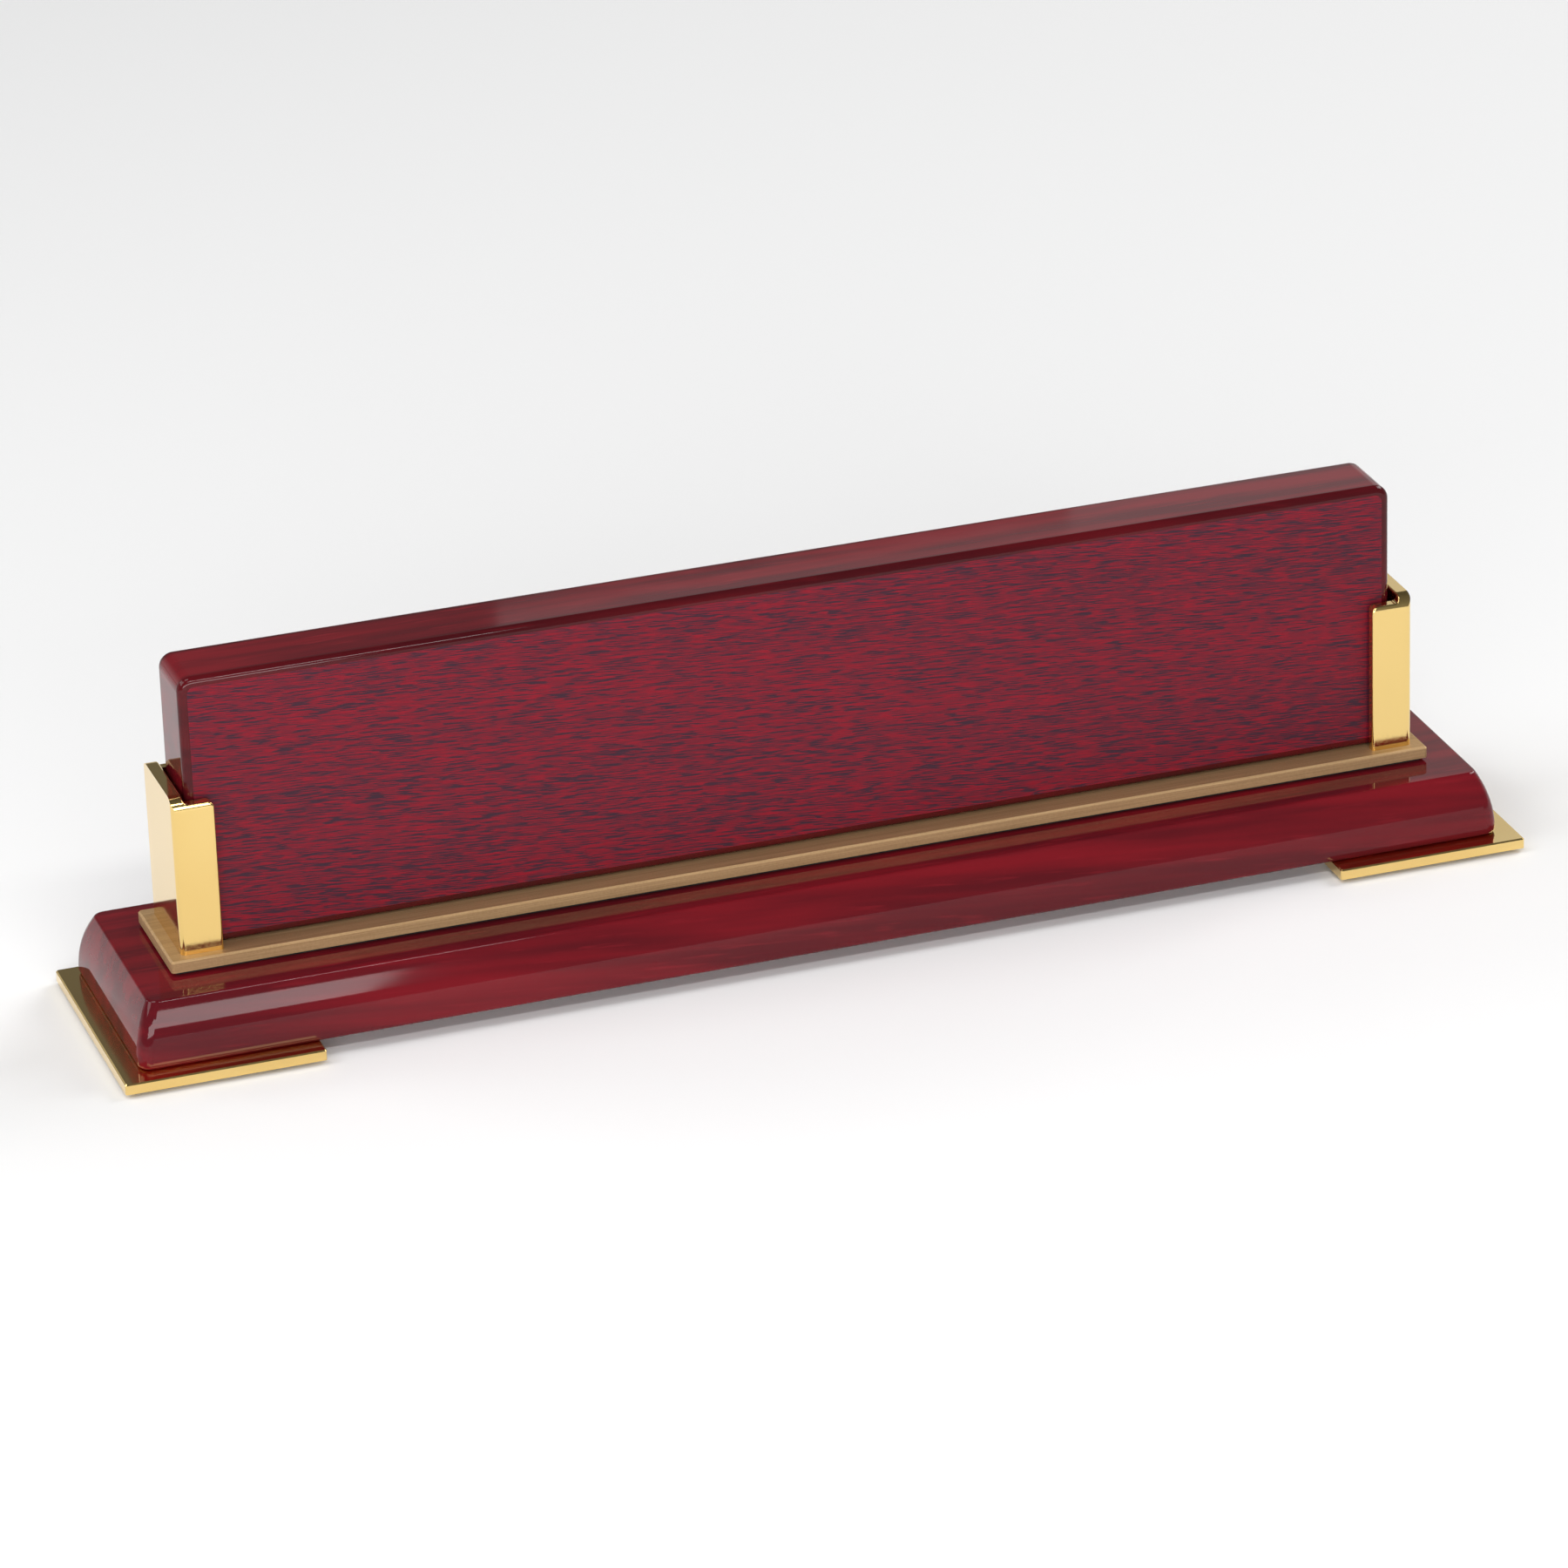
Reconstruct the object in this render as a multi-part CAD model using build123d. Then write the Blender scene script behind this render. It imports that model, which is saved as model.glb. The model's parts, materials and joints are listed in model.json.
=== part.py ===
from build123d import *
import os

# Desk name plaque: a rosewood panel held upright by its ends in two brass uprights, on a brass
# deck plate, on a moulded rosewood base that stands on two brass foot plates.
#
# Frame: +X along the plaque, -Y towards the reader, +Z up. The origin is on the floor, midway
# between the foot plates and midway from their front edges to their back edges. Millimetres.

# ---- Foot plates and the pads under them
PAD_THICKNESS = 0.8
PAD_INSET = 1.5
FOOT_LENGTH = 37.0
FOOT_DEPTH = 51.0
FOOT_THICKNESS = 2.0
FOOT_OVERHANG = 3.7
FOOT_CORNER_RADIUS = 0.5
FOOT_BEVEL = 0.25

# ---- Base board. It sits towards the back of the foot plates, so that they show in front.
BASE_LENGTH = 261.6
BASE_DEPTH = 46.6
BASE_HEIGHT = 12.0
BASE_SETBACK = 1.4
MOULDING_INSET = 3.1
MOULDING_LAND = 1.0
BASE_CORNER_RADIUS = 2.4
BASE_TOP_RADIUS = 0.6
BASE_BOTTOM_RADIUS = 0.9

# ---- Deck plate and the mounting tape under it
TAPE_THICKNESS = 0.7
TAPE_INSET = 0.9
DECK_LENGTH = 242.4
DECK_DEPTH = 24.0
DECK_THICKNESS = 2.2
DECK_CORNER_RADIUS = 0.6
DECK_BEVEL = 0.35

# ---- Uprights: a U channel each, open at the top, with a fixing flange let into the deck
UPRIGHT_SPAN = 237.6
UPRIGHT_WIDTH = 7.9
UPRIGHT_DEPTH = 20.0
UPRIGHT_HEIGHT = 30.3
WALL_THICKNESS = 2.4
LIP_THICKNESS = 2.1
WALL_TOP_RADIUS = 2.6
LIP_DROP = 1.4
LIP_TOP_RADIUS = 0.4
LIP_CORNER_RADIUS = 1.2
STEP_RADIUS = 0.8
UPRIGHT_CORNER_RADIUS = 1.0
LIP_EDGE_RADIUS = 0.5
FLANGE_REACH = 20.0
FLANGE_WIDTH = 11.0
FLANGE_THICKNESS = 1.0
FLANGE_UNDER_WALL = 1.4
FLANGE_END_RADIUS = 3.0

# ---- Felt liner in each channel
LINER_THICKNESS = 0.5
LINER_HEIGHT = 25.5

# ---- Panel: a core with rounded edges, and a face veneer let into its front and its back
PANEL_LENGTH = 231.0
PANEL_HEIGHT = 51.7
PANEL_THICKNESS = 14.3
PANEL_CORNER_RADIUS = 2.7
PANEL_EDGE_RADIUS = 1.3
VENEER_THICKNESS = 0.5
VENEER_MARGIN = 1.6

# ---- Countersunk wood screws, all of one size
SCREW_LENGTH = 9.5
SCREW_RADIUS = 1.3
SCREW_HEAD_RADIUS = 2.3
SCREW_HEAD_HEIGHT = 1.0
SCREW_POINT_HEIGHT = 2.0
CROSS_SPAN = 2.6
CROSS_WIDTH = 0.6
CROSS_DEPTH = 0.6
PILOT_CLEARANCE = 0.5
FLANGE_SCREW_X = (101.5, 110.5)
DECK_SCREW_X = (-42.0, 42.0)
FOOT_SCREW_X = (105.0, 122.0)
FOOT_SCREW_Y = 12.5

# ---- How a solid is placed about its own origin: centred in plan, and hanging or standing
HANGING = (Align.CENTER, Align.CENTER, Align.MAX)
STANDING = (Align.CENTER, Align.CENTER, Align.MIN)

# ---- Levels, from the floor up
FOOT_BOTTOM = PAD_THICKNESS
BASE_BOTTOM = FOOT_BOTTOM + FOOT_THICKNESS
BASE_TOP = BASE_BOTTOM + BASE_HEIGHT
DECK_BOTTOM = BASE_TOP + TAPE_THICKNESS
DECK_TOP = DECK_BOTTOM + DECK_THICKNESS
MIDDLE_Y = BASE_SETBACK
FOOT_CENTRE_X = BASE_LENGTH / 2 + FOOT_OVERHANG - FOOT_LENGTH / 2


def slab(length, depth, bottom, thickness, corner_radius, x=0.0, y=0.0):
    """A flat plate with rounded corners, centred on x and y."""
    outline = RectangleRounded(length, depth, corner_radius)
    return Pos(x, y, bottom) * extrude(outline, thickness)


def edges_at_level(solid, level):
    """The edges of a solid that lie wholly at one height."""
    return solid.edges().filter_by_position(Axis.Z, level - 1e-4, level + 1e-4)


def screw_at(x, y, head_face, upward):
    """One countersunk wood screw. Its flat head face is at head_face, its point up or down."""
    shank_length = SCREW_LENGTH - SCREW_HEAD_HEIGHT - SCREW_POINT_HEIGHT
    half_section = Polyline(
        (0, 0),
        (SCREW_HEAD_RADIUS, 0),
        (SCREW_RADIUS, -SCREW_HEAD_HEIGHT),
        (SCREW_RADIUS, -SCREW_HEAD_HEIGHT - shank_length),
        (0, -SCREW_LENGTH),
        close=True,
    )
    solid = revolve(Plane.XZ * make_face(half_section), Axis.Z)
    along = Box(CROSS_SPAN, CROSS_WIDTH, 2 * CROSS_DEPTH)
    across = Box(CROSS_WIDTH, CROSS_SPAN, 2 * CROSS_DEPTH)
    solid -= along + across
    turn = 180 if upward else 0
    return Pos(x, y, head_face) * Rot(turn, 0, 0) * solid


def screw_hole(x, y, head_face, upward):
    """The countersunk hole that one screw fills, blind, a little deeper than its point."""
    cone = Cone(SCREW_RADIUS, SCREW_HEAD_RADIUS, SCREW_HEAD_HEIGHT, align=HANGING)
    shaft = Cylinder(SCREW_RADIUS, SCREW_LENGTH + PILOT_CLEARANCE, align=HANGING)
    turn = 180 if upward else 0
    return Pos(x, y, head_face) * Rot(turn, 0, 0) * (cone + shaft)


def flange_screw_places():
    """Two screws through each upright's flange, in line along the middle of the deck."""
    return [(side * x, MIDDLE_Y, DECK_TOP, False) for side in (-1, 1) for x in FLANGE_SCREW_X]


def deck_screw_places():
    """Two screws through the deck plate, hidden under the panel."""
    return [(x, MIDDLE_Y, DECK_TOP, False) for x in DECK_SCREW_X]


def foot_screw_places():
    """Two screws up through each foot plate, on a diagonal."""
    return [
        (side * x, MIDDLE_Y + y, FOOT_BOTTOM, True)
        for side in (-1, 1)
        for x, y in zip(FOOT_SCREW_X, (-FOOT_SCREW_Y, FOOT_SCREW_Y))
    ]


def screws(places):
    """One node of identical screws, each its own solid."""
    return Compound(children=[screw_at(*place) for place in places])


def drilled(solid, places):
    """A solid with the holes of the screws that pass through it or end in it."""
    for place in places:
        solid -= screw_hole(*place)
    return solid


def foot_plate(side):
    """A brass plate under one end of the base, showing in front of it and past its end."""
    x = side * FOOT_CENTRE_X
    plate = slab(FOOT_LENGTH, FOOT_DEPTH, FOOT_BOTTOM, FOOT_THICKNESS, FOOT_CORNER_RADIUS, x)
    plate = chamfer(edges_at_level(plate, BASE_BOTTOM), FOOT_BEVEL)
    return drilled(plate, foot_screw_places())


def foot_pad(side):
    """A thin soft pad under one foot plate, a little smaller than the plate."""
    length = FOOT_LENGTH - 2 * PAD_INSET
    depth = FOOT_DEPTH - 2 * PAD_INSET
    return slab(length, depth, 0, PAD_THICKNESS, FOOT_CORNER_RADIUS, side * FOOT_CENTRE_X)


def moulded_section(width):
    """Half-round moulded cross-section of the base, standing on the line y = 0."""
    half = width / 2
    top_half = half - MOULDING_INSET
    floor = Line((-half, 0), (half, 0))
    right_land = Line((half, 0), (half, MOULDING_LAND))
    right_arc = TangentArc((half, MOULDING_LAND), (top_half, BASE_HEIGHT), tangent=(0, 1))
    top = Line((top_half, BASE_HEIGHT), (-top_half, BASE_HEIGHT))
    left_arc = TangentArc((-half, MOULDING_LAND), (-top_half, BASE_HEIGHT), tangent=(0, 1))
    left_land = Line((-half, MOULDING_LAND), (-half, 0))
    return make_face(floor + right_land + right_arc + top + left_arc + left_land)


def base_board():
    """The base: one board whose four edges carry the same convex moulding, mitred at the corners."""
    along = extrude(Plane.YZ * moulded_section(BASE_DEPTH), BASE_LENGTH / 2, both=True)
    across = extrude(Plane.XZ * moulded_section(BASE_LENGTH), BASE_DEPTH, both=True)
    board = along & across
    mitres = [
        edge
        for edge in board.edges()
        if abs(edge.center().X) > BASE_LENGTH / 2 - 2 * MOULDING_INSET
        and abs(edge.center().Y) > BASE_DEPTH / 2 - 2 * MOULDING_INSET
    ]
    board = fillet(mitres, BASE_CORNER_RADIUS)
    board = fillet(edges_at_level(board, BASE_HEIGHT), BASE_TOP_RADIUS)
    board = fillet(edges_at_level(board, 0), BASE_BOTTOM_RADIUS)
    board = Pos(0, MIDDLE_Y, BASE_BOTTOM) * board
    return drilled(board, flange_screw_places() + deck_screw_places() + foot_screw_places())


def mounting_tape():
    """The thin foam tape between the base and the deck plate, set back from the plate's edge."""
    length = DECK_LENGTH - 2 * TAPE_INSET
    depth = DECK_DEPTH - 2 * TAPE_INSET
    tape = slab(length, depth, BASE_TOP, TAPE_THICKNESS, DECK_CORNER_RADIUS, 0, MIDDLE_Y)
    return drilled(tape, flange_screw_places() + deck_screw_places())


def flange(side):
    """The fixing flange of one upright, from under its wall inwards, flush with the deck."""
    wall_inside = UPRIGHT_SPAN / 2 - WALL_THICKNESS
    outer_end = wall_inside + FLANGE_UNDER_WALL
    length = FLANGE_REACH + FLANGE_UNDER_WALL
    x = side * (outer_end - length / 2)
    bottom = DECK_TOP - FLANGE_THICKNESS
    tongue = slab(length, FLANGE_WIDTH, bottom, FLANGE_THICKNESS, FLANGE_END_RADIUS, x, MIDDLE_Y)
    square_end_x = side * (outer_end - FLANGE_END_RADIUS / 2)
    square_end = Box(FLANGE_END_RADIUS, FLANGE_WIDTH, FLANGE_THICKNESS, align=STANDING)
    return tongue + Pos(square_end_x, MIDDLE_Y, bottom) * square_end


def deck_plate():
    """The long brass plate, with a shallow pocket at each end for an upright's flange."""
    thickness = DECK_TOP - DECK_BOTTOM
    plate = slab(DECK_LENGTH, DECK_DEPTH, DECK_BOTTOM, thickness, DECK_CORNER_RADIUS, 0, MIDDLE_Y)
    plate = chamfer(edges_at_level(plate, DECK_TOP), DECK_BEVEL)
    for side in (-1, 1):
        plate -= flange(side)
    return drilled(plate, flange_screw_places() + deck_screw_places())


def turned_to(side):
    """Half a turn for the left-hand end, because front and back of an upright are alike."""
    return Rot(0, 0, 0 if side > 0 else 180)


def side_profile():
    """Side view of an upright: a rectangle whose two top corners are rounded."""
    outline = Pos(0, UPRIGHT_HEIGHT / 2) * Rectangle(UPRIGHT_DEPTH, UPRIGHT_HEIGHT)
    top_corners = outline.vertices().sort_by(Axis.Y)[-2:]
    return fillet(top_corners, WALL_TOP_RADIUS)


def channel_plan():
    """Plan of the right-hand upright: a U open towards the panel, its outer corners rounded."""
    outer_x = UPRIGHT_SPAN / 2
    inner_x = outer_x - UPRIGHT_WIDTH
    outline = Pos((outer_x + inner_x) / 2, 0) * Rectangle(UPRIGHT_WIDTH, UPRIGHT_DEPTH)
    outline = fillet(outline.vertices().sort_by(Axis.X)[-2:], UPRIGHT_CORNER_RADIUS)
    slot_length = UPRIGHT_WIDTH - WALL_THICKNESS
    slot_depth = UPRIGHT_DEPTH - 2 * LIP_THICKNESS
    outline -= Pos(inner_x + slot_length / 2, 0) * Rectangle(slot_length, slot_depth)
    lip_ends = [v for v in outline.vertices() if v.X < inner_x + 1e-4]
    return fillet(lip_ends, LIP_EDGE_RADIUS)


def front_profile():
    """Front view of the right-hand upright: the end wall, a step down, and the rounded lip."""
    outer_x = UPRIGHT_SPAN / 2
    wall_x = outer_x - WALL_THICKNESS
    inner_x = outer_x - UPRIGHT_WIDTH
    lip_top = UPRIGHT_HEIGHT - LIP_DROP
    outline = Polyline(
        (inner_x, 0),
        (outer_x, 0),
        (outer_x, UPRIGHT_HEIGHT),
        (wall_x, UPRIGHT_HEIGHT),
        (wall_x, lip_top),
        (inner_x, lip_top),
        close=True,
    )
    profile = make_face(outline)
    step = profile.vertices().sort_by_distance((wall_x, lip_top, 0))[0]
    profile = fillet(step, STEP_RADIUS)
    corner = profile.vertices().sort_by_distance((inner_x, lip_top, 0))[0]
    return fillet(corner, LIP_CORNER_RADIUS)


def upright(side):
    """One brass upright: the end wall, its two lower lips with rounded tops, and the flange."""
    channel = extrude(channel_plan(), UPRIGHT_HEIGHT)
    from_side = extrude(Plane.YZ * side_profile(), UPRIGHT_SPAN / 2)
    from_front = extrude(Plane.XZ * front_profile(), UPRIGHT_DEPTH, both=True)
    body = channel & from_side & from_front
    lip_edges = [
        edge
        for edge in edges_at_level(body, UPRIGHT_HEIGHT - LIP_DROP)
        if abs(edge.center().Y) > (UPRIGHT_DEPTH - LIP_THICKNESS) / 2
        and edge.length > UPRIGHT_WIDTH / 4
    ]
    body = fillet(lip_edges, LIP_TOP_RADIUS)
    body = Pos(0, MIDDLE_Y, DECK_TOP) * turned_to(side) * body + flange(side)
    return drilled(body, flange_screw_places())


def channel_liner(side):
    """The felt strip folded round the inside of one channel, bonded to the upright."""
    wall_inside = UPRIGHT_SPAN / 2 - WALL_THICKNESS
    length = UPRIGHT_WIDTH - WALL_THICKNESS - LIP_EDGE_RADIUS
    depth = UPRIGHT_DEPTH - 2 * LIP_THICKNESS
    x = wall_inside - length / 2
    plan = Pos(x, 0) * Rectangle(length, depth)
    plan -= Pos(x - LINER_THICKNESS, 0) * Rectangle(length, depth - 2 * LINER_THICKNESS)
    liner = extrude(plan, LINER_HEIGHT)
    return Pos(0, MIDDLE_Y, DECK_TOP) * turned_to(side) * liner


def panel_slab(length, height, corner_radius, lowest_y, highest_y):
    """A rounded rectangle standing on edge in the panel's place, between two depths."""
    outline = RectangleRounded(length, height, corner_radius)
    sheet = extrude(Plane.XZ * outline, (highest_y - lowest_y) / 2, both=True)
    return Pos(0, MIDDLE_Y + (lowest_y + highest_y) / 2, DECK_TOP + PANEL_HEIGHT / 2) * sheet


def veneer(front):
    """One face veneer, flush with the panel's face. front is -1 for the reader's side."""
    outer = PANEL_THICKNESS / 2
    depths = sorted((front * outer, front * (outer - VENEER_THICKNESS)))
    length = PANEL_LENGTH - 2 * VENEER_MARGIN
    height = PANEL_HEIGHT - 2 * VENEER_MARGIN
    return panel_slab(length, height, PANEL_CORNER_RADIUS - PANEL_EDGE_RADIUS, *depths)


def panel_core():
    """The panel's solid wood, its front and back edges rounded, recessed for the two veneers."""
    half = PANEL_THICKNESS / 2
    core = panel_slab(PANEL_LENGTH, PANEL_HEIGHT, PANEL_CORNER_RADIUS, -half, half)
    faces = core.faces().sort_by(Axis.Y)
    core = fillet(faces[0].edges() + faces[-1].edges(), PANEL_EDGE_RADIUS)
    return core - veneer(-1) - veneer(1)


def build():
    """Every separate piece of the plaque, by its node's name."""
    nodes = {
        "base_board": base_board(),
        "deck_plate": deck_plate(),
        "deck_mounting_tape": mounting_tape(),
        "panel_core": panel_core(),
        "panel_front_veneer": veneer(-1),
        "panel_back_veneer": veneer(1),
        "upright_screws": screws(flange_screw_places()),
        "deck_screws": screws(deck_screw_places()),
        "foot_plate_screws": screws(foot_screw_places()),
    }
    for name, side in (("left", -1), ("right", 1)):
        nodes[name + "_upright"] = upright(side)
        nodes[name + "_channel_liner"] = channel_liner(side)
        nodes[name + "_foot_plate"] = foot_plate(side)
        nodes[name + "_foot_pad"] = foot_pad(side)
    return nodes


os.makedirs("parts", exist_ok=True)
for node_name, solid in build().items():
    export_step(solid, "parts/" + node_name + ".step")
    print(node_name, round(solid.volume, 1))
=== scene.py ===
import json
import math

import bpy
from mathutils import Matrix, Vector


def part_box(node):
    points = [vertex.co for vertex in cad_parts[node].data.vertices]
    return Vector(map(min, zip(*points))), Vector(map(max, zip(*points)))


# Looks of the desk name plaque. Metres, in the part's own frame: +X along the plaque,
# -Y towards the reader, +Z up, with the floor at z = 0.

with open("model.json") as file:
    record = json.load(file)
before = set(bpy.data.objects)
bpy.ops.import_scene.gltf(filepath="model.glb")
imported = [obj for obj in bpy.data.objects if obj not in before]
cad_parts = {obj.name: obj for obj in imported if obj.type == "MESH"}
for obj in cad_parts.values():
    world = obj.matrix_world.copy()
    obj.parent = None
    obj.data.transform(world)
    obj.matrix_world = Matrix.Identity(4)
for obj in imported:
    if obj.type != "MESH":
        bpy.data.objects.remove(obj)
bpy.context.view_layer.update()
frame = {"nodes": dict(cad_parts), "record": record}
MM = 0.001

# ---- Camera: it looks at a point near the middle of the plaque, from the front and left. The lens
# ---- and the sensor are in millimetres
CAMERA_AIM = Vector((-0.00278, -0.00225, 0.02833))
CAMERA_DISTANCE = 1.3888
CAMERA_AZIMUTH = math.radians(-18.20)
CAMERA_ELEVATION = math.radians(24.23)
CAMERA_ROLL = math.radians(-1.936)
CAMERA_LENS = 174.69
CAMERA_SENSOR = 36.0

# ---- Wood colours, linear: the veneer's, then the lacquered wood's, then the painted shade for the panel's rounded edges
CRIMSON = (0.258, 0.0058, 0.0180)
ROSE = (0.160, 0.0086, 0.0205)
PLUM = (0.108, 0.0108, 0.0228)
PORE = (0.030, 0.0150, 0.0280)
LACQUER_RED = (0.175, 0.0075, 0.0130)
LACQUER_DARK = (0.090, 0.0060, 0.0100)
LACQUER_GLOW = (0.215, 0.0110, 0.0180)
# Painted shade: the near-black colour painted on the panel's rounded edges, standing in for the dark
# reflection they catch
PAINTED_SHADE = (0.022, 0.0025, 0.0035)

# ---- Metal, cloth and tape colours, linear
BRASS = (0.890, 0.640, 0.235)
BRASS_DEEP = (0.800, 0.530, 0.160)
DECK_BRASS = (0.600, 0.405, 0.212)
DECK_BRASS_DARK = (0.450, 0.290, 0.142)
FELT = (0.012, 0.0105, 0.0110)
FELT_LIGHT = (0.030, 0.0260, 0.0270)
TAPE = (0.010, 0.0085, 0.0085)
STEEL = (0.560, 0.560, 0.570)
STEEL_DULL = (0.360, 0.360, 0.370)

# ---- Grain: the slope of its lines, and the height that they waver over
GRAIN_TILT = math.tan(math.radians(4.5))
GRAIN_WAVER = 2.2 * MM

# ---- Painted edge shade, standing in for the dark reflection on the panel's rounded edges: how far
# ---- inside the panel's faces it starts and is full, how far below the panel it ends, and how strong
# it is
PAINTED_SHADE_START = 2.4 * MM
PAINTED_SHADE_FULL = 1.0 * MM
PAINTED_SHADE_BELOW = 0.1 * MM
PAINTED_SHADE_SHARE = 0.55

# ---- Studio walls: brightness against the height of the direction looked in, 0 level to 1 up, and
# ---- half the width, in y, of the blend from the front wall to the one behind
BEHIND_STOPS = ((0.0, 0.80), (0.18, 0.50), (0.36, 0.16), (0.45, 0.14), (0.60, 0.08), (1.0, 0.08))
FRONT_STOPS = ((0.0, 0.25), (0.40, 0.18), (1.0, 0.10))
WALL_BLEND = 0.25

# ---- Floor
FLOOR_HALF_WIDTH = 6.0
FLOOR_WHITE = (0.90, 0.90, 0.90)

# ---- Softboxes: name, centre, the point it faces, width, height and brightness
SOFTBOXES = (
    # Over the front: the main light
    ("key", (-0.06, -0.74, 0.88), (-0.06, 0, 0.03), 0.58, 0.10, 17.0),
    # Low in front: the highlight along the left half of the base's moulding
    ("low_front", (-0.40, -1.10, 0.36), (-0.30, 0, 0.02), 1.20, 0.32, 7.2),
    # Overhead and at the sides: soft fill
    ("top_left", (-0.48, 0.10, 1.40), (-0.10, 0, 0.02), 0.50, 0.50, 4.5),
    ("left_side", (-1.25, 0.05, 1.05), (0, 0, 0), 0.90, 0.70, 3.6),
    ("right_side", (1.30, 0.25, 1.20), (0, 0, 0), 0.90, 0.70, 6.2),
    # Upright panels behind: the pale sheen on the right of the panel's top and of the base's top
    ("rear_right", (0.80, 1.00, 0.50), (0.80, 0.0, 0.50), 0.74, 0.50, 0.50),
    ("rear_middle", (0.33, 1.00, 0.65), (0.33, 0.0, 0.65), 0.20, 0.29, 0.45),
    # Rear corners: they whiten the floor behind
    ("rear_left_floor", (-2.20, 2.00, 1.80), (-0.6, 1.2, 0), 1.20, 0.80, 4.8),
    ("rear_right_floor", (2.90, 1.80, 1.80), (1.0, 1.2, 0), 1.20, 0.80, 4.8),
)


# ---------------------------------------------------------------- node helpers
# The Mix node's colour sockets go by number, because its other types have sockets of the same name
MIX_FIRST = 6
MIX_SECOND = 7
MIX_RESULT = 2


class Recipe:
    """A new material, and short ways to add the nodes of its recipe."""

    def __init__(self, name):
        self.material = bpy.data.materials.new(name)
        self.material.use_nodes = True
        self.tree = self.material.node_tree
        self.shader = self.tree.nodes["Principled BSDF"]
        self.place = self.add("ShaderNodeTexCoord").outputs["Object"]

    def add(self, kind, **settings):
        node = self.tree.nodes.new(kind)
        for key, value in settings.items():
            setattr(node, key, value)
        return node

    def link(self, source, target):
        self.tree.links.new(source, target)

    def axes(self):
        """The place's x, y and z, an output each."""
        node = self.add("ShaderNodeSeparateXYZ")
        self.link(self.place, node.inputs[0])
        return node.outputs["X"], node.outputs["Y"], node.outputs["Z"]

    def feed(self, value, socket):
        """Links an output, or sets a plain number or colour."""
        if isinstance(value, bpy.types.NodeSocket):
            self.link(value, socket)
        elif socket.type == "RGBA":
            socket.default_value = (*value, 1.0)
        else:
            socket.default_value = value

    def stretched(self, per_x, per_y, per_z, source=None):
        """Places multiplied axis by axis, so that a noise of scale 1 has that many cells a metre."""
        node = self.add("ShaderNodeVectorMath", operation="MULTIPLY")
        self.link(source or self.place, node.inputs[0])
        node.inputs[1].default_value = (per_x, per_y, per_z)
        return node.outputs["Vector"]

    def noise(self, vector, detail=2.0, roughness=0.5, distortion=0.0):
        node = self.add("ShaderNodeTexNoise")
        self.link(vector, node.inputs["Vector"])
        node.inputs["Scale"].default_value = 1.0
        node.inputs["Detail"].default_value = detail
        node.inputs["Roughness"].default_value = roughness
        node.inputs["Distortion"].default_value = distortion
        return node.outputs["Fac"]

    def ramp(self, value, low, high, to_low=0.0, to_high=1.0):
        node = self.add("ShaderNodeMapRange", interpolation_type="SMOOTHSTEP")
        self.feed(value, node.inputs["Value"])
        node.inputs["From Min"].default_value = low
        node.inputs["From Max"].default_value = high
        node.inputs["To Min"].default_value = to_low
        node.inputs["To Max"].default_value = to_high
        return node.outputs["Result"]

    def maths(self, operation, first, second=0.0):
        node = self.add("ShaderNodeMath", operation=operation)
        self.feed(first, node.inputs[0])
        self.feed(second, node.inputs[1])
        return node.outputs["Value"]

    def blend(self, share, first, second):
        node = self.add("ShaderNodeMix", data_type="RGBA")
        self.feed(share, node.inputs["Factor"])
        self.feed(first, node.inputs[MIX_FIRST])
        self.feed(second, node.inputs[MIX_SECOND])
        return node.outputs[MIX_RESULT]

    def bump(self, height, distance, strength):
        node = self.add("ShaderNodeBump")
        self.link(height, node.inputs["Height"])
        node.inputs["Distance"].default_value = distance
        node.inputs["Strength"].default_value = strength
        return node.outputs["Normal"]

    def shade(self, **inputs):
        """Sets the shader's inputs. An underscore stands for a space in the input's name."""
        for key, value in inputs.items():
            self.feed(value, self.shader.inputs[key.replace("_", " ")])


def along_grain(recipe):
    """Places with the grain's slight tilt and slow waver taken out of z."""
    x, y, z = recipe.axes()
    slope = recipe.maths("MULTIPLY", x, GRAIN_TILT)
    waver = recipe.noise(recipe.stretched(14, 14, 60), detail=1.0)
    waver = recipe.maths("MULTIPLY", waver, GRAIN_WAVER)
    level = recipe.maths("ADD", recipe.maths("ADD", z, slope), waver)
    join = recipe.add("ShaderNodeCombineXYZ")
    recipe.link(x, join.inputs["X"])
    recipe.link(y, join.inputs["Y"])
    recipe.link(level, join.inputs["Z"])
    return join.outputs["Vector"]


# ---------------------------------------------------------------- materials
def satin_veneer():
    """Rosewood veneer: crimson and plum bands, fine fibres and short dark pores, satin lacquer."""
    r = Recipe("satin_veneer")
    grain = along_grain(r)
    bands = r.noise(r.stretched(7, 60, 110, grain), detail=3.0, roughness=0.5)
    fibres = r.noise(r.stretched(230, 1600, 4200, grain), detail=2.0, roughness=0.6)
    pores = r.noise(r.stretched(270, 2200, 5200, grain), detail=1.0, roughness=0.5)
    clusters = r.noise(r.stretched(14, 90, 170, grain), detail=2.0)
    wood = r.blend(r.ramp(bands, 0.32, 0.68), PLUM, ROSE)
    wood = r.blend(r.ramp(fibres, 0.42, 0.64, 0.0, 0.9), wood, CRIMSON)
    clustered = r.maths("ADD", pores, r.maths("MULTIPLY", clusters, 0.14))
    dark = r.ramp(clustered, 0.58, 0.67, 0.0, 0.9)
    r.shade(
        Base_Color=r.blend(dark, wood, PORE),
        Roughness=r.ramp(fibres, 0.3, 0.7, 0.42, 0.52),
        Normal=r.bump(r.maths("SUBTRACT", fibres, dark), 0.02 * MM, 0.5),
    )
    r.shade(IOR=1.45, Specular_IOR_Level=0.22)
    return r.material


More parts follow.
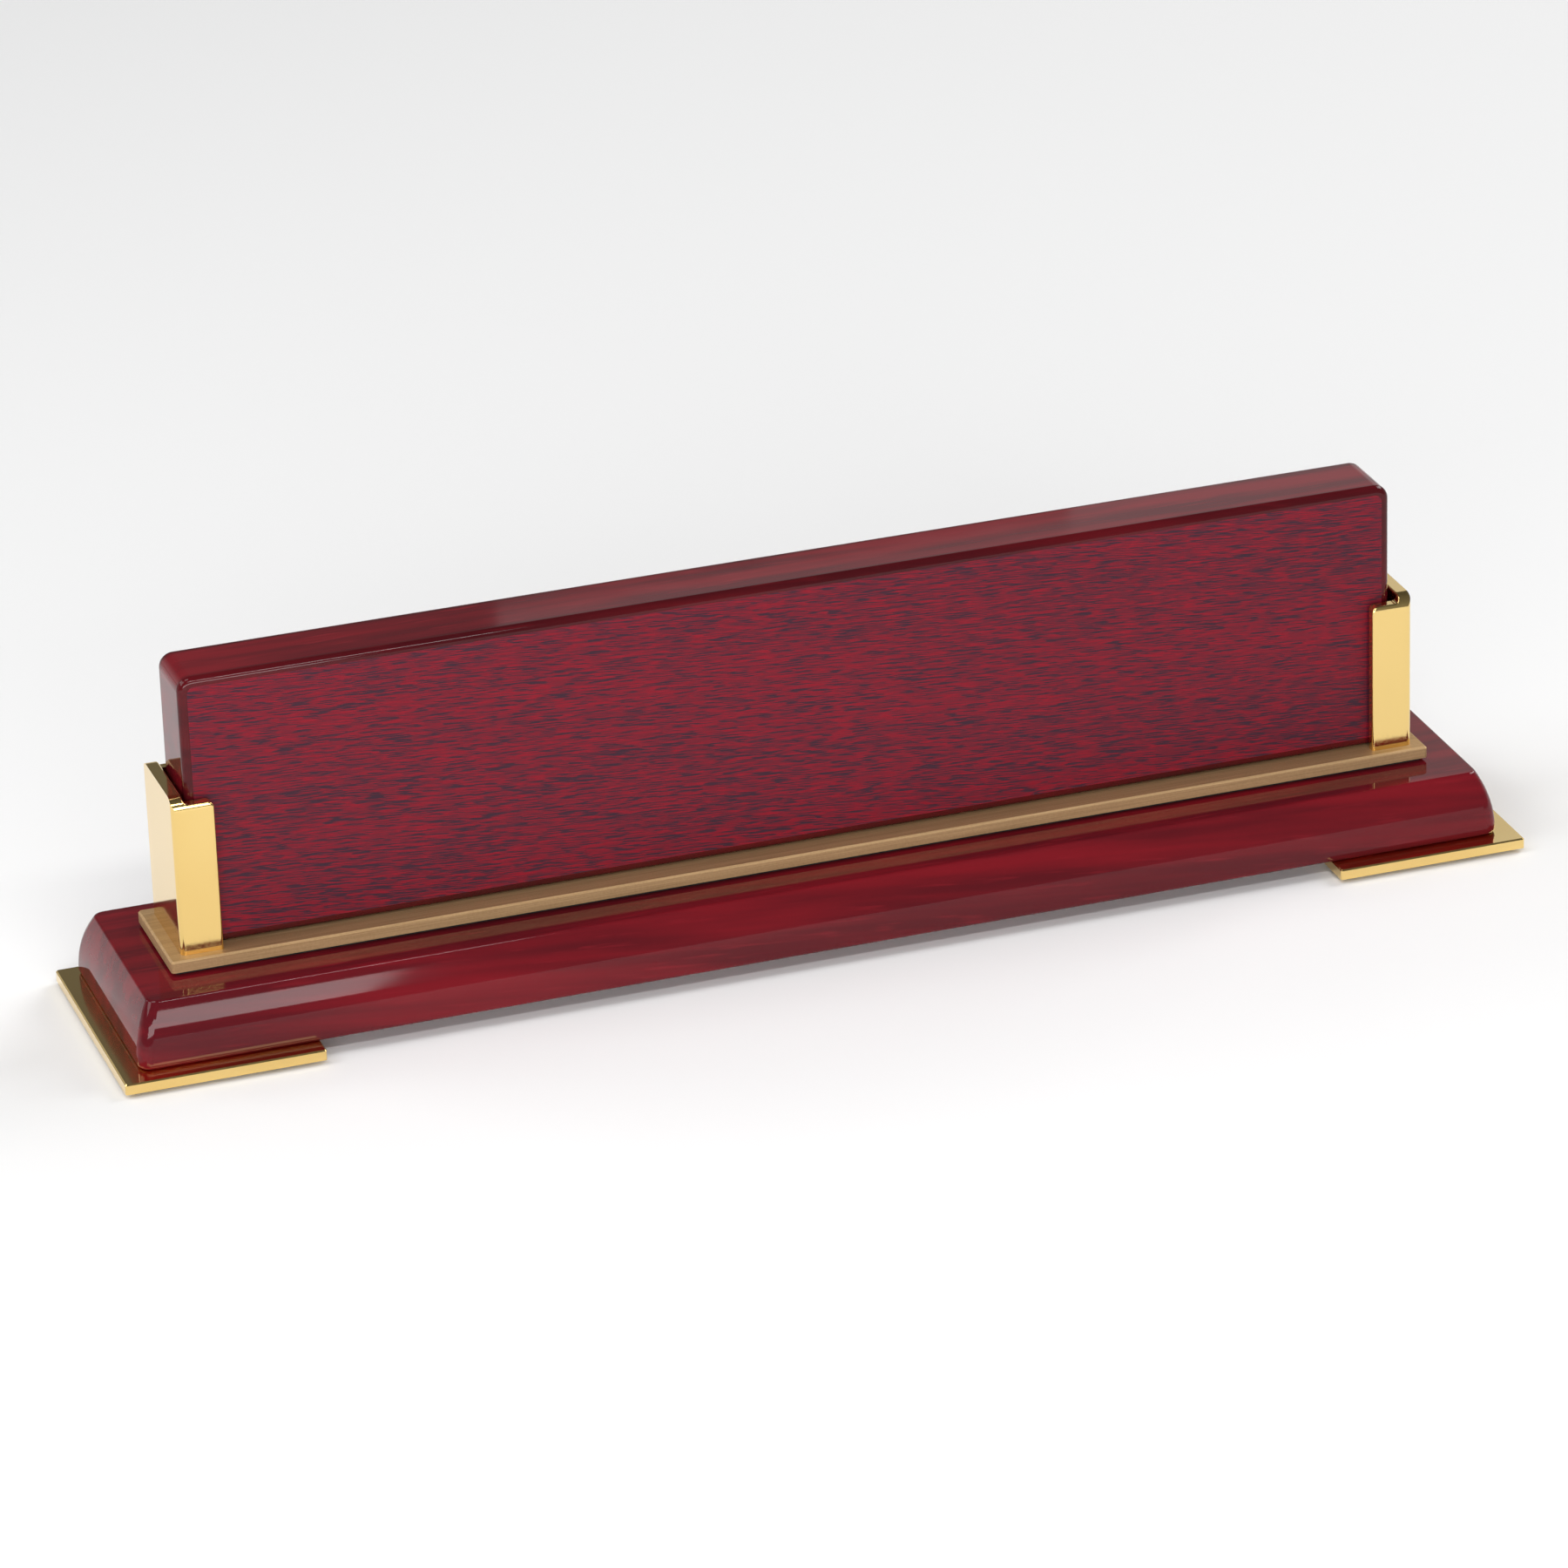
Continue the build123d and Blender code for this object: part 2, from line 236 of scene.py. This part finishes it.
def painted_edge_shade(recipe):
    """The painted shade's share of the colour: the full shade share on the panel's rounded edges,
    else 0.
    """
    lowest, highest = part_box("panel_core")
    middle_y = (lowest[1] + highest[1]) / 2
    half_thickness = (highest[1] - lowest[1]) / 2
    _, y, z = recipe.axes()
    off_middle = recipe.maths("ABSOLUTE", recipe.maths("SUBTRACT", y, middle_y))
    near_face = recipe.ramp(off_middle, half_thickness - PAINTED_SHADE_START, half_thickness - PAINTED_SHADE_FULL)
    on_panel = recipe.maths("GREATER_THAN", z, lowest[2] - PAINTED_SHADE_BELOW)
    return recipe.maths("MULTIPLY", recipe.maths("MULTIPLY", near_face, on_panel), PAINTED_SHADE_SHARE)


def gloss_lacquer():
    """Rosewood under clear gloss lacquer: soft lengthwise figure, painted shade on the panel's
    rounded edges.
    """
    r = Recipe("gloss_lacquer")
    grain = along_grain(r)
    figure = r.noise(r.stretched(10, 190, 190, grain), detail=3.0, roughness=0.55)
    fleck = r.noise(r.stretched(70, 900, 900, grain), detail=2.0)
    wood = r.blend(r.ramp(figure, 0.34, 0.66), LACQUER_DARK, LACQUER_RED)
    wood = r.blend(r.ramp(fleck, 0.58, 0.80, 0.0, 0.6), wood, LACQUER_GLOW)
    # Painted shade: the panel's rounded edges are darkened towards a near-black colour, standing in
    # for the dark reflection they catch
    wood = r.blend(painted_edge_shade(r), wood, PAINTED_SHADE)
    film = r.noise(r.stretched(90, 90, 90), detail=1.0)
    r.shade(
        Base_Color=wood,
        Roughness=0.45,
        Coat_Normal=r.bump(film, 0.02 * MM, 0.25),
    )
    r.shade(IOR=1.4, Specular_IOR_Level=0.0)
    r.shade(Coat_Weight=1.0, Coat_Roughness=0.05, Coat_IOR=1.32)
    return r.material


def polished_brass():
    """Bright brass with a very fine satin haze and a clear protective lacquer."""
    r = Recipe("polished_brass")
    haze = r.noise(r.stretched(3200, 3200, 3200), detail=2.0)
    cloud = r.noise(r.stretched(45, 45, 45), detail=2.0)
    r.shade(
        Base_Color=r.blend(r.ramp(cloud, 0.35, 0.70, 0.0, 0.35), BRASS, BRASS_DEEP),
        Roughness=r.ramp(haze, 0.3, 0.7, 0.08, 0.14),
        Normal=r.bump(haze, 0.006 * MM, 0.4),
    )
    r.shade(Metallic=1.0, Coat_Weight=0.5, Coat_Roughness=0.06, Coat_IOR=1.5)
    return r.material


def brushed_brass():
    """Brass brushed along the plaque: fine scratches of uneven length and a warmer, darker tone."""
    r = Recipe("brushed_brass")
    scratches = r.noise(r.stretched(45, 5200, 5200), detail=2.0, roughness=0.6)
    bands = r.noise(r.stretched(9, 700, 700), detail=2.0)
    grain = r.noise(r.stretched(2600, 2600, 2600), detail=1.0)
    tone = r.maths("ADD", r.ramp(scratches, 0.35, 0.65, 0.0, 0.6), r.ramp(bands, 0.3, 0.7, 0.0, 0.4))
    r.shade(
        Base_Color=r.blend(tone, DECK_BRASS_DARK, DECK_BRASS),
        Roughness=r.ramp(grain, 0.3, 0.7, 0.56, 0.68),
        Normal=r.bump(scratches, 0.012 * MM, 0.6),
    )
    r.shade(Metallic=0.8)
    return r.material


def felt():
    """Thin black felt: tangled short fibres."""
    r = Recipe("felt")
    fibres = r.noise(r.stretched(2400, 2400, 2400), detail=4.0, roughness=0.7, distortion=1.5)
    r.shade(
        Base_Color=r.blend(r.ramp(fibres, 0.4, 0.7), FELT, FELT_LIGHT),
        Roughness=0.95,
        Normal=r.bump(fibres, 0.08 * MM, 0.8),
    )
    r.shade(Sheen_Weight=0.15, Sheen_Roughness=0.6)
    return r.material


def foam_tape():
    """Black foam tape: small open cells at its cut edge."""
    r = Recipe("foam_tape")
    cells = r.add("ShaderNodeTexVoronoi")
    r.link(r.stretched(3500, 3500, 3500), cells.inputs["Vector"])
    cells.inputs["Scale"].default_value = 1.0
    depth = cells.outputs["Distance"]
    r.shade(
        Base_Color=r.blend(r.ramp(depth, 0.1, 0.6), TAPE, FELT),
        Roughness=0.9,
        Normal=r.bump(depth, 0.05 * MM, 0.6),
    )
    return r.material


def screw_metal(name, bright, dull):
    """A screw head's metal: a fine mottle and a slight roughness, as a plated head has."""
    r = Recipe(name)
    mottle = r.noise(r.stretched(1500, 1500, 6000), detail=2.0)
    r.shade(
        Base_Color=r.blend(r.ramp(mottle, 0.35, 0.7), dull, bright),
        Roughness=r.ramp(mottle, 0.3, 0.7, 0.22, 0.34),
        Normal=r.bump(mottle, 0.01 * MM, 0.5),
    )
    r.shade(Metallic=1.0)
    return r.material


MATERIALS = {
    "satin_rosewood_veneer": satin_veneer(),
    "lacquered_rosewood": gloss_lacquer(),
    "polished_brass": polished_brass(),
    "brushed_brass": brushed_brass(),
    "dark_felt": felt(),
    "foam_tape": foam_tape(),
    "brass_screw": screw_metal("brass_screw", BRASS, BRASS_DEEP),
    "steel_screw": screw_metal("steel_screw", STEEL, STEEL_DULL),
}
MATERIALS["channel_felt"] = MATERIALS["dark_felt"]


def dress_nodes():
    """Gives every CAD node the finish of its slot in the record."""
    for part in frame["record"]["subparts"]:
        mesh = frame["nodes"][part["node"]].data
        mesh.materials.clear()
        mesh.materials.append(MATERIALS[part["material_slot"]])


# ---------------------------------------------------------------- studio
def softbox(name, centre, target, width, height, brightness):
    """A rectangular softbox of that width and height, as bright at any size, facing the target."""
    light = bpy.data.lights.new(name, "AREA")
    light.shape = "RECTANGLE"
    light.size = width
    light.size_y = height
    light.energy = brightness * width * height * math.pi
    lamp = bpy.data.objects.new(name, light)
    bpy.context.scene.collection.objects.link(lamp)
    lamp.location = centre
    lamp.rotation_euler = (Vector(target) - Vector(centre)).to_track_quat("-Z", "Y").to_euler()


def floor():
    """A plain pale floor."""
    half = FLOOR_HALF_WIDTH
    mesh = bpy.data.meshes.new("floor")
    corners = [(-half, -half, 0), (half, -half, 0), (half, half, 0), (-half, half, 0)]
    mesh.from_pydata(corners, [], [(0, 1, 2, 3)])
    plane = bpy.data.objects.new("floor", mesh)
    bpy.context.scene.collection.objects.link(plane)
    r = Recipe("floor")
    r.shade(Base_Color=FLOOR_WHITE, Roughness=0.9, Specular_IOR_Level=0.05)
    mesh.materials.append(r.material)


def sky():
    """The studio's walls and ceiling: pale low down behind, dim in front and overhead."""
    world = bpy.data.worlds.new("studio")
    bpy.context.scene.world = world
    world.use_nodes = True
    tree = world.node_tree
    coordinates = tree.nodes.new("ShaderNodeTexCoord")
    split = tree.nodes.new("ShaderNodeSeparateXYZ")
    tree.links.new(coordinates.outputs["Generated"], split.inputs[0])

    def fade(stops):
        """The brightness that the stops give at the height of the direction looked in."""
        ramp = tree.nodes.new("ShaderNodeValToRGB")
        tree.links.new(split.outputs["Z"], ramp.inputs["Fac"])
        elements = ramp.color_ramp.elements
        elements.remove(elements[1])
        for index, (place, grey) in enumerate(stops):
            element = elements[0] if index == 0 else elements.new(place)
            element.position = place
            element.color = (grey, grey, grey, 1.0)
        return ramp.outputs["Color"]

    behind = fade(BEHIND_STOPS)
    in_front = fade(FRONT_STOPS)
    share = tree.nodes.new("ShaderNodeMapRange")
    share.interpolation_type = "SMOOTHSTEP"
    tree.links.new(split.outputs["Y"], share.inputs["Value"])
    share.inputs["From Min"].default_value = -WALL_BLEND
    share.inputs["From Max"].default_value = WALL_BLEND
    mix = tree.nodes.new("ShaderNodeMix")
    mix.data_type = "RGBA"
    tree.links.new(share.outputs["Result"], mix.inputs["Factor"])
    tree.links.new(in_front, mix.inputs[MIX_FIRST])
    tree.links.new(behind, mix.inputs[MIX_SECOND])
    tree.links.new(mix.outputs[MIX_RESULT], tree.nodes["Background"].inputs["Color"])


def camera():
    """The camera, from its aim, distance, azimuth, elevation and roll."""
    back = Vector((
        math.sin(CAMERA_AZIMUTH) * math.cos(CAMERA_ELEVATION),
        -math.cos(CAMERA_AZIMUTH) * math.cos(CAMERA_ELEVATION),
        math.sin(CAMERA_ELEVATION),
    ))
    data = bpy.data.cameras.new("camera")
    data.lens = CAMERA_LENS
    data.sensor_width = CAMERA_SENSOR
    data.clip_start = 0.05
    data.clip_end = 20.0
    taker = bpy.data.objects.new("camera", data)
    bpy.context.scene.collection.objects.link(taker)
    turn = (-back).to_track_quat("-Z", "Y").to_matrix() @ Matrix.Rotation(CAMERA_ROLL, 3, "Z")
    taker.matrix_world = Matrix.LocRotScale(CAMERA_AIM + back * CAMERA_DISTANCE, turn, None)
    bpy.context.scene.camera = taker


dress_nodes()
floor()
sky()
for values in SOFTBOXES:
    softbox(*values)
camera()
bpy.context.scene.view_settings.view_transform = "Standard"
